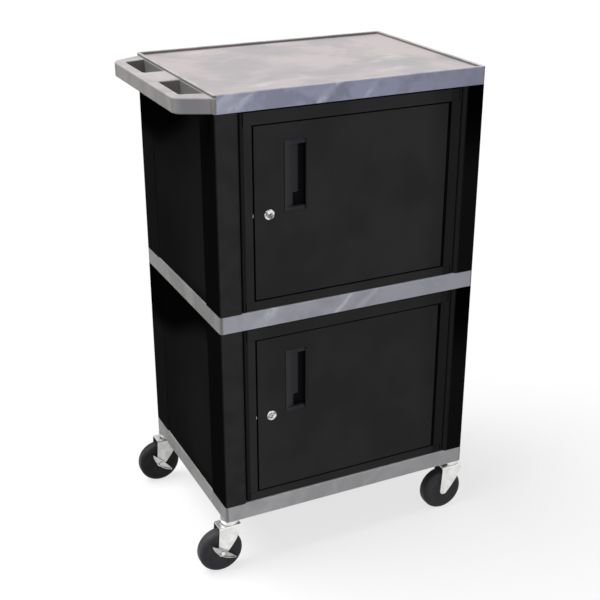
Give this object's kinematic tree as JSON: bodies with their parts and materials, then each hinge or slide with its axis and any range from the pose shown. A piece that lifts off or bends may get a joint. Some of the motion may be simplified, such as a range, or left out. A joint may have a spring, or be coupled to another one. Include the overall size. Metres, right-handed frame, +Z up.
{
  "type": "audio visual cart",
  "caption": "Rolling audio visual cart with moulded shelves, corner legs and a push handle, locking steel cabinets with hinged doors, and swivel casters.",
  "frame": {"origin": "on the floor, at the middle of the cart's overall width and depth", "axes": "+Z up, -Y out of the doors, -X out of the push handle"},
  "size_m": [0.6844, 0.4662, 1.0795],
  "materials": {
    "shelf_resin": "marbled grey moulded resin",
    "leg_resin": "black moulded resin",
    "cabinet_steel": "black powder coat on sheet steel",
    "pull_plastic": "black moulded plastic, satin",
    "chrome": "polished chrome plate",
    "zinc": "bright zinc plate",
    "black_oxide": "black oxide on steel screws",
    "wheel_rubber": "dark grey moulded rubber"
  },
  "bodies": {
    "cart_body": {"bottom_shelf": "shelf_resin", "middle_shelf": "shelf_resin", "top_shelf": "shelf_resin", "lower_front_left_leg": "leg_resin", "lower_front_right_leg": "leg_resin", "lower_rear_left_leg": "leg_resin", "lower_rear_right_leg": "leg_resin", "lower_left_panel": "cabinet_steel", "lower_right_panel": "cabinet_steel", "lower_back_panel": "cabinet_steel", "lower_face_frame": "cabinet_steel", "lower_hinge_frame_leaf": "cabinet_steel", "upper_front_left_leg": "leg_resin", "upper_front_right_leg": "leg_resin", "upper_rear_left_leg": "leg_resin", "upper_rear_right_leg": "leg_resin", "upper_left_panel": "cabinet_steel", "upper_right_panel": "cabinet_steel", "upper_back_panel": "cabinet_steel", "upper_face_frame": "cabinet_steel", "upper_hinge_frame_leaf": "cabinet_steel", "hinge_pins": "zinc", "strike_plates": "zinc", "caster_balls": "zinc", "cabinet_screws": "black_oxide", "front_left_caster_stem": "zinc", "front_right_caster_stem": "zinc", "rear_left_caster_stem": "zinc", "rear_right_caster_stem": "zinc"},
    "lower_door": {"lower_door_skin": "cabinet_steel", "lower_door_liner": "cabinet_steel", "lower_hinge_door_leaf": "cabinet_steel", "lower_pull": "pull_plastic", "lower_lock_body": "chrome", "lower_lock_nut": "zinc"},
    "lower_lock": {"lower_lock_plug": "chrome", "lower_lock_cam": "zinc"},
    "upper_door": {"upper_door_skin": "cabinet_steel", "upper_door_liner": "cabinet_steel", "upper_hinge_door_leaf": "cabinet_steel", "upper_pull": "pull_plastic", "upper_lock_body": "chrome", "upper_lock_nut": "zinc"},
    "upper_lock": {"upper_lock_plug": "chrome", "upper_lock_cam": "zinc"},
    "front_left_swivel": {"front_left_caster_fork": "zinc", "front_left_axle_bolt": "zinc"},
    "front_left_wheel_body": {"front_left_wheel": "wheel_rubber"},
    "front_right_swivel": {"front_right_caster_fork": "zinc", "front_right_axle_bolt": "zinc"},
    "front_right_wheel_body": {"front_right_wheel": "wheel_rubber"},
    "rear_left_swivel": {"rear_left_caster_fork": "zinc", "rear_left_axle_bolt": "zinc"},
    "rear_left_wheel_body": {"rear_left_wheel": "wheel_rubber"},
    "rear_right_swivel": {"rear_right_caster_fork": "zinc", "rear_right_axle_bolt": "zinc"},
    "rear_right_wheel_body": {"rear_right_wheel": "wheel_rubber"},
    "front_left_brake": {"front_left_brake_lever": "zinc"},
    "rear_left_brake": {"rear_left_brake_lever": "zinc"}
  },
  "joints": [
    {"name": "lower_door_hinge", "type": "hinge", "parent": "cart_body", "child": "lower_door", "pos_m": [0.2525, -0.2232, 0.3701], "axis": [0, 0, 1], "range_deg": [0, 110]},
    {"name": "lower_lock_turn", "type": "hinge", "parent": "lower_door", "child": "lower_lock", "pos_m": [-0.1631, -0.2246, 0.3701], "axis": [0, 1, 0], "range_deg": [0, 90]},
    {"name": "upper_door_hinge", "type": "hinge", "parent": "cart_body", "child": "upper_door", "pos_m": [0.2525, -0.2232, 0.8273], "axis": [0, 0, 1], "range_deg": [0, 110]},
    {"name": "upper_lock_turn", "type": "hinge", "parent": "upper_door", "child": "upper_lock", "pos_m": [-0.1631, -0.2246, 0.8273], "axis": [0, 1, 0], "range_deg": [0, 90]},
    {"name": "front_left_caster_swivel", "type": "hinge", "parent": "cart_body", "child": "front_left_swivel", "pos_m": [-0.2606, -0.208, 0.115], "axis": [0, 0, 1], "continuous": true},
    {"name": "front_left_wheel_spin", "type": "hinge", "parent": "front_left_swivel", "child": "front_left_wheel_body", "pos_m": [-0.2866, -0.208, 0.0508], "axis": [0, 1, 0], "continuous": true},
    {"name": "front_left_brake_rock", "type": "hinge", "parent": "front_left_swivel", "child": "front_left_brake", "pos_m": [-0.2866, -0.208, 0.0508], "axis": [0, -1, 0], "range_deg": [0, 35]},
    {"name": "front_right_caster_swivel", "type": "hinge", "parent": "cart_body", "child": "front_right_swivel", "pos_m": [0.3174, -0.208, 0.115], "axis": [0, 0, 1], "continuous": true},
    {"name": "front_right_wheel_spin", "type": "hinge", "parent": "front_right_swivel", "child": "front_right_wheel_body", "pos_m": [0.2914, -0.208, 0.0508], "axis": [0, 1, 0], "continuous": true},
    {"name": "rear_left_caster_swivel", "type": "hinge", "parent": "cart_body", "child": "rear_left_swivel", "pos_m": [-0.2606, 0.208, 0.115], "axis": [0, 0, 1], "continuous": true},
    {"name": "rear_left_wheel_spin", "type": "hinge", "parent": "rear_left_swivel", "child": "rear_left_wheel_body", "pos_m": [-0.2866, 0.208, 0.0508], "axis": [0, 1, 0], "continuous": true},
    {"name": "rear_left_brake_rock", "type": "hinge", "parent": "rear_left_swivel", "child": "rear_left_brake", "pos_m": [-0.2866, 0.208, 0.0508], "axis": [0, -1, 0], "range_deg": [0, 35]},
    {"name": "rear_right_caster_swivel", "type": "hinge", "parent": "cart_body", "child": "rear_right_swivel", "pos_m": [0.3174, 0.208, 0.115], "axis": [0, 0, 1], "continuous": true},
    {"name": "rear_right_wheel_spin", "type": "hinge", "parent": "rear_right_swivel", "child": "rear_right_wheel_body", "pos_m": [0.2914, 0.208, 0.0508], "axis": [0, 1, 0], "continuous": true}
  ]
}
